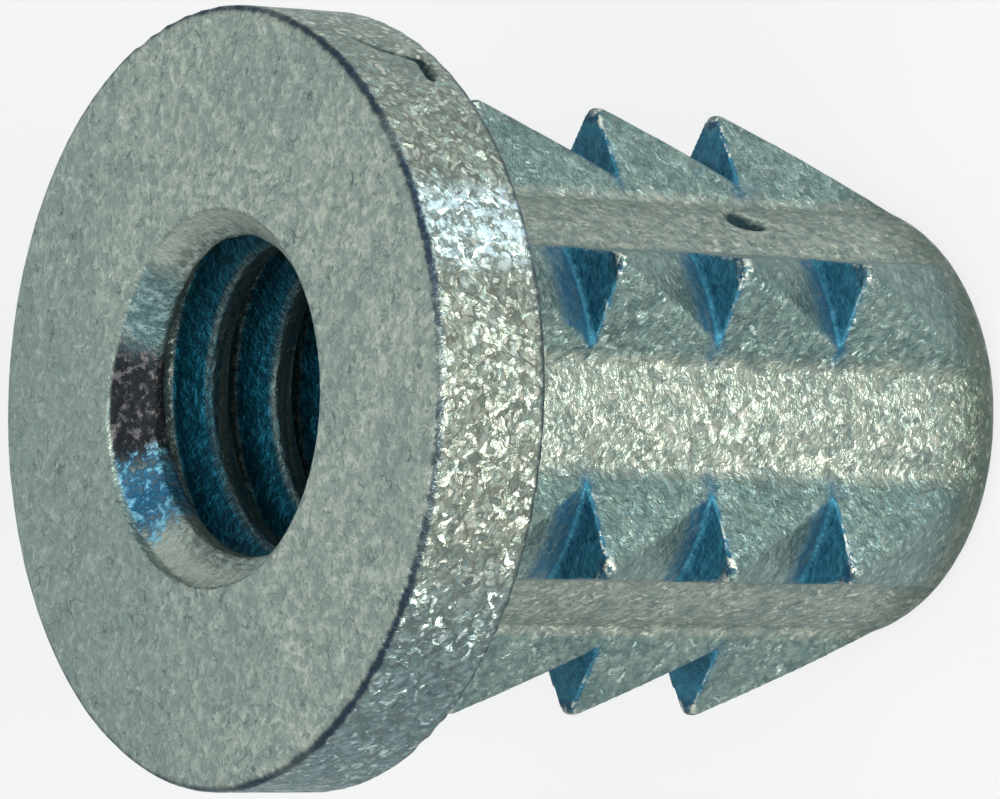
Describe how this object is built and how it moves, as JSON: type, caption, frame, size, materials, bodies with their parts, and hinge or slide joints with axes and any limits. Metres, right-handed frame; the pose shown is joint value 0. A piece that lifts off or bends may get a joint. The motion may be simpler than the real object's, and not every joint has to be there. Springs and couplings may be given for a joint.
{
  "type": "tee nut",
  "caption": "cast zinc tee nut with a round flange, a barbed body and a threaded through hole, for hammering into wood",
  "frame": {"origin": "On the nut's axis, at the bottom of its insertion end, which is the plane it stands on.", "axes": "Z runs along the bore, up to the flange's face. X runs through one row of barbs, and the six rows stand every 60 degrees about Z from there."},
  "size_m": [0.0126, 0.0126, 0.0136],
  "materials": {
    "cast_zinc": "zinc alloy as cast and plated, finely mottled and satin"
  },
  "bodies": {
    "root": {"tee_nut_body": "cast_zinc"}
  },
  "joints": []
}
